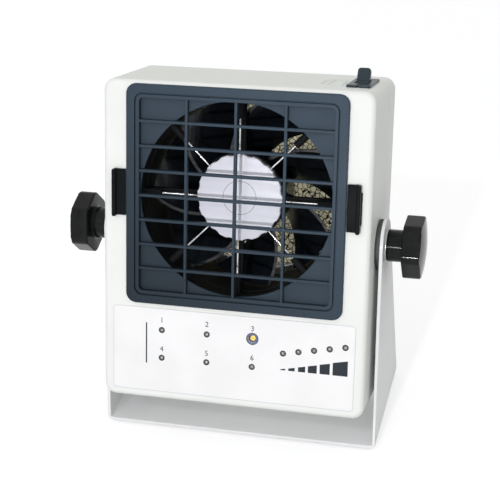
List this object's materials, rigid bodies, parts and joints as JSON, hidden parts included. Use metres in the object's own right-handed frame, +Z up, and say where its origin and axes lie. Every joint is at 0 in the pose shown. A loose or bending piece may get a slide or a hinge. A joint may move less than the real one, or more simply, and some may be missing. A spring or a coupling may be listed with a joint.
{
  "type": "benchtop ionizing air blower",
  "caption": "Benchtop ionizing air blower: moulded housing with a guarded axial fan and needle emitters, hung on a bent steel bracket by two clamp knobs.",
  "frame": {"origin": "On the bench directly below the tilt axis, on the underside of the rubber sheet", "axes": "+Z up, the front of the blower faces -Y, +X to the right as seen from the front"},
  "size_m": [0.2166, 0.1275, 0.2172],
  "materials": {
    "housing_plastic": "fine moulded texture",
    "bracket_paint": "white powder coat",
    "pad_rubber": "matt",
    "guard_plastic": "satin",
    "label_film": "satin printed film",
    "knob_phenolic": "polished phenolic",
    "latch_plastic": "satin",
    "fan_plastic": "moulded glass filled nylon",
    "rotor_plastic": "semi gloss",
    "hub_white": "satin",
    "switch_plastic": "satin",
    "washer_fibre": "matt",
    "screw_steel": "zinc plated",
    "needle_steel": "ground",
    "brass": "turned",
    "copper_winding": "enamelled wire",
    "magnet_ferrite": "ground",
    "board_laminate": "solder mask",
    "lamp_lens": "clear resin",
    "trimmer_plastic": "moulded",
    "potting_resin": "cast epoxy",
    "filter_foam": "open cell foam"
  },
  "bodies": {
    "stand": {"stand_bracket": "bracket_paint", "base_pad": "pad_rubber"},
    "housing": {"front_shell": "housing_plastic", "rear_shell": "housing_plastic", "case_screws": "screw_steel", "label_panel": "label_film", "control_board": "board_laminate", "board_screws": "screw_steel", "status_lamps": "lamp_lens", "trimmer_body": "trimmer_plastic", "hv_module": "potting_resin", "fan_frame": "fan_plastic", "hub_cap": "hub_white", "fan_stator": "copper_winding", "fan_bearings": "needle_steel", "fan_screws": "screw_steel", "emitter_ring": "fan_plastic", "emitter_needles": "needle_steel", "emitter_screws": "screw_steel", "filter_foam": "filter_foam", "filter_cover": "housing_plastic", "switch_body": "switch_plastic", "dc_inlet": "switch_plastic", "ground_screw": "screw_steel", "pivot_inserts": "brass", "friction_washers": "washer_fibre"},
    "rotor": {"impeller": "rotor_plastic", "fan_shaft": "needle_steel", "rotor_magnet": "magnet_ferrite"},
    "front_guard": {"guard": "guard_plastic", "guard_plate": "guard_plastic"},
    "left_latch": {"latch_left": "latch_plastic"},
    "right_latch": {"latch_right": "latch_plastic"},
    "paddle": {"switch_paddle": "switch_plastic"},
    "trimmer": {"trimmer_screw": "brass"},
    "left_washer": {"knob_washer_left": "screw_steel"},
    "right_washer": {"knob_washer_right": "screw_steel"},
    "left_knob": {"knob_left": "knob_phenolic", "stud_left": "screw_steel"},
    "right_knob": {"knob_right": "knob_phenolic", "stud_right": "screw_steel"}
  },
  "joints": [
    {"name": "tilt", "type": "hinge", "parent": "stand", "child": "housing", "pos_m": [0, 0, 0.11951], "axis": [1, 0, 0], "range_deg": [-74.5, 105.5]},
    {"name": "fan_spin", "type": "hinge", "parent": "housing", "child": "rotor", "pos_m": [0, -0.00895, 0.14897], "axis": [0, 0.9636, -0.2672], "continuous": true},
    {"name": "guard_lift", "type": "slide", "parent": "housing", "child": "front_guard", "axis": [0, -0.9636, 0.2672], "range_m": [0, 0.012]},
    {"name": "latch_left_slide", "type": "slide", "parent": "housing", "child": "left_latch", "axis": [-1, 0, 0], "range_m": [0, 0.003], "stiffness_N_per_m": 800, "springref_m": -0.001},
    {"name": "latch_right_slide", "type": "slide", "parent": "housing", "child": "right_latch", "axis": [1, 0, 0], "range_m": [0, 0.003], "stiffness_N_per_m": 800, "springref_m": -0.001},
    {"name": "switch_toggle", "type": "hinge", "parent": "housing", "child": "paddle", "pos_m": [0.0668, 0.02528, 0.20693], "axis": [1, 0, 0], "range_deg": [0, 50]},
    {"name": "trimmer_turn", "type": "hinge", "parent": "housing", "child": "trimmer", "pos_m": [0.0124, -0.04138, 0.07319], "axis": [0, 0.9636, -0.2672], "range_deg": [-135, 135]},
    {"name": "washer_left_slide", "type": "slide", "parent": "housing", "child": "left_washer", "axis": [-1, 0, 0], "range_m": [0, 0.002]},
    {"name": "washer_right_slide", "type": "slide", "parent": "housing", "child": "right_washer", "axis": [1, 0, 0], "range_m": [0, 0.002]},
    {"name": "knob_left_turn", "type": "hinge", "parent": "left_washer", "child": "left_knob", "pos_m": [-0.095, 0, 0.11951], "axis": [-1, 0, 0], "range_deg": [0, 720]},
    {"name": "knob_right_turn", "type": "hinge", "parent": "right_washer", "child": "right_knob", "pos_m": [0.095, 0, 0.11951], "axis": [1, 0, 0], "range_deg": [0, 720]}
  ],
  "couplings": [
    {"joint": "washer_left_slide", "follows": "knob_left_turn", "m_per_rad": 0.00015915},
    {"joint": "washer_right_slide", "follows": "knob_right_turn", "m_per_rad": 0.00015915}
  ]
}
